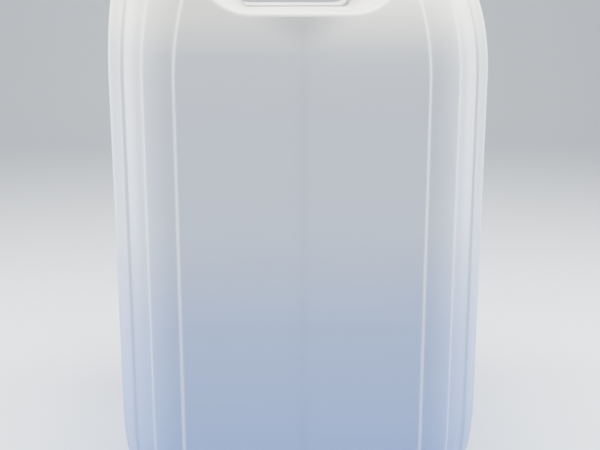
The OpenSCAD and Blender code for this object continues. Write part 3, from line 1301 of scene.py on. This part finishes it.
@dataclass
class Studio:
    """A plain pale floor, soft light and the photograph's camera."""

    floor_hex: str = "D9DEE4"
    world_hex: str = "F2F5FA"
    world_strength: float = 0.68
    flat_end: float = 1.6
    bend_r: float = 0.8
    lens: float = 60.69
    sensor: float = 36.0
    stand: tuple[float, float, float] = (-0.036, -0.852, 0.408)
    look_down: float = 13.95
    look_right: float = 2.66

    def floor(self) -> None:
        """Lays the floor and turns it up far behind the can.

        Returns:
            Nothing; the floor is staged, so it belongs to no piece.
        """
        end, r = self.flat_end, self.bend_r
        rows = [(-3.0, 0.0), (end, 0.0)]
        rows += [
            (end + r * math.sin(a), r * (1 - math.cos(a)))
            for a in np.linspace(0, math.pi / 2, 13)[1:]
        ]
        rows.append((end + r, 4.0))
        points = [(x, y, z) for y, z in rows for x in (-4.0, 4.0)]
        faces = [(2 * k, 2 * k + 1, 2 * k + 3, 2 * k + 2) for k in range(len(rows) - 1)]
        floor = new_object("floor", np.array(points), faces)
        material, tree = new_material("pale matt floor")
        skin = add_node(tree, "ShaderNodeBsdfPrincipled", {
            "Base Color": linear_colour(self.floor_hex), "Roughness": 0.85})
        add_node(tree, "ShaderNodeOutputMaterial", {"Surface": skin.outputs[0]})
        floor.data.materials.append(material)

    def lamp(
        self, name: str, place: tuple, aim: tuple, size: tuple[float, float], watts: float
    ) -> None:
        """Hangs one softbox.

        Args:
            name: the lamp's name.
            place: where it hangs.
            aim: the point that it faces.
            size: its two sides.
            watts: its power.
        """
        light = bpy.data.lights.new(name, "AREA")
        light.shape = "RECTANGLE"
        light.size, light.size_y = size
        light.energy = watts
        lamp = bpy.data.objects.new(name, light)
        lamp.location = place
        lamp.rotation_euler = (Vector(aim) - Vector(place)).to_track_quat("-Z", "Y").to_euler()
        bpy.context.scene.collection.objects.link(lamp)

    def camera(self) -> None:
        """Sets the camera where the photograph's outline puts it.

        Returns:
            Nothing; the camera is the scene's own.
        """
        data = bpy.data.cameras.new("camera")
        data.lens = self.lens
        data.sensor_width = self.sensor
        camera = bpy.data.objects.new("camera", data)
        camera.location = self.stand
        tilt, turn = math.radians(90 - self.look_down), math.radians(-self.look_right)
        camera.rotation_euler = (tilt, 0.0, turn)
        bpy.context.scene.collection.objects.link(camera)
        bpy.context.scene.camera = camera

    def build(self) -> None:
        """Sets up floor, lamps, sky and camera.

        Returns:
            Nothing; all of them are in the scene.
        """
        self.floor()
        self.lamp("overhead", (0.0, -0.16, 1.2), (0.0, 0.0, 0.3), (0.8, 0.3), 40)
        for name, x in (("left", -1.0), ("right", 1.0)):
            self.lamp(name, (x, 0.03, 0.45), (0.0, 0.0, 0.2), (0.2, 1.0), 23)
        world = bpy.data.worlds.new("pale room")
        world.use_nodes = True
        sky = world.node_tree.nodes["Background"]
        sky.inputs["Color"].default_value = linear_colour(self.world_hex)
        sky.inputs["Strength"].default_value = self.world_strength
        bpy.context.scene.world = world
        self.camera()


def dress(
    obj: bpy.types.Object, finish: bpy.types.Material, body: str, node: str
) -> None:
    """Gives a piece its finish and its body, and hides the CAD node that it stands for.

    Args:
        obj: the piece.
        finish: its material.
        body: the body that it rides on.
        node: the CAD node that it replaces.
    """
    obj.data.materials.clear()
    obj.data.materials.append(finish)
    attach(obj, body)
    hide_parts(node)
    LOG.info("%s: %d faces on %s", obj.name, len(obj.data.polygons), body)


def main() -> None:
    """Builds the can, its cap, disc and band, and the studio.
    """
    logging.basicConfig(level=logging.INFO, format="%(message)s")
    body_low, body_high = (Vector(corner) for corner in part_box("body"))
    cap_low, cap_high = (Vector(corner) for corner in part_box("cap"))
    disc_low, disc_high = (Vector(corner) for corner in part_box("cap_liner"))
    band_low, band_high = (Vector(corner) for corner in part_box("tamper_band"))
    axis_x = (cap_low.x + cap_high.x) / 2
    outer_r = (cap_high.x - cap_low.x) / 2

    milky = BlownPolyethylene(height=body_high.z).material()
    white = MouldedPolyethylene().material()
    foam = ClosedCellFoam().material()

    size = body_high - body_low
    can = CanBody(size.x, size.y, body_high.z, axis_x).build()
    dress(can, milky, "can", "body")
    cap = ScrewCap(axis_x, cap_low.z, cap_high.z, outer_r).build()
    dress(cap, white, "screw_cap", "cap")
    disc_r = (disc_high.x - disc_low.x) / 2
    disc = SealingDisc(axis_x, disc_low.z, disc_high.z, disc_r).build()
    dress(disc, foam, "seal", "cap_liner")
    band_r = (band_high.x - band_low.x) / 2
    band = TamperBand(axis_x, band_low.z, band_high.z, band_r).build()
    dress(band, white, "can", "tamper_band")
    Studio().build()


if __name__ == "__main__":
    main()
